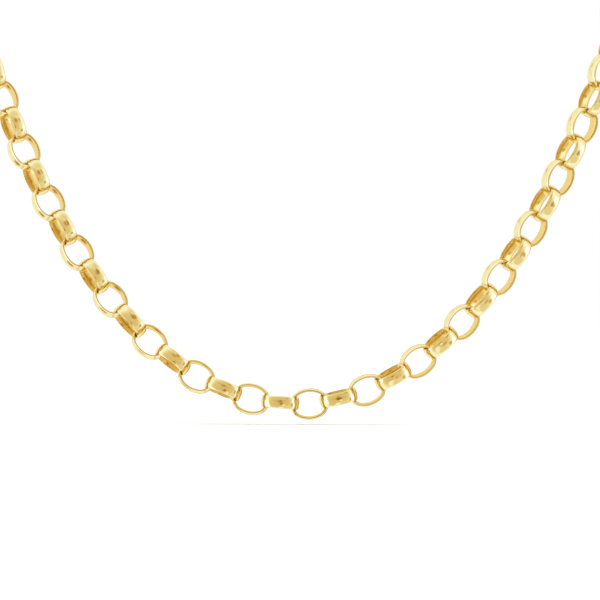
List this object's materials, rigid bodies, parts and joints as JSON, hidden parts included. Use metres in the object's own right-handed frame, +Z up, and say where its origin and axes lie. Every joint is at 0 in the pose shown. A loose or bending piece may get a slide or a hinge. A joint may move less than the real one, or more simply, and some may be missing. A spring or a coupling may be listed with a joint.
{
  "type": "rolo chain necklace",
  "caption": "Rolo chain necklace of oval half-round gold links that pass through each other, closed by a plain bolt ring and kept in the shape it takes round a neck.",
  "frame": {"origin": "middle of the neck opening, level with the shoulders that the chain lies on", "axes": "+Z up along the neck, -Y to the front of the body, +X to the side that a viewer in front sees on the right"},
  "size_m": [0.1324, 0.1012, 0.107],
  "materials": {
    "gold": "polished yellow gold, with a fine grain inside the links"
  },
  "bodies": {
    "root": {"chain": "gold", "clasp": "gold"}
  },
  "joints": []
}
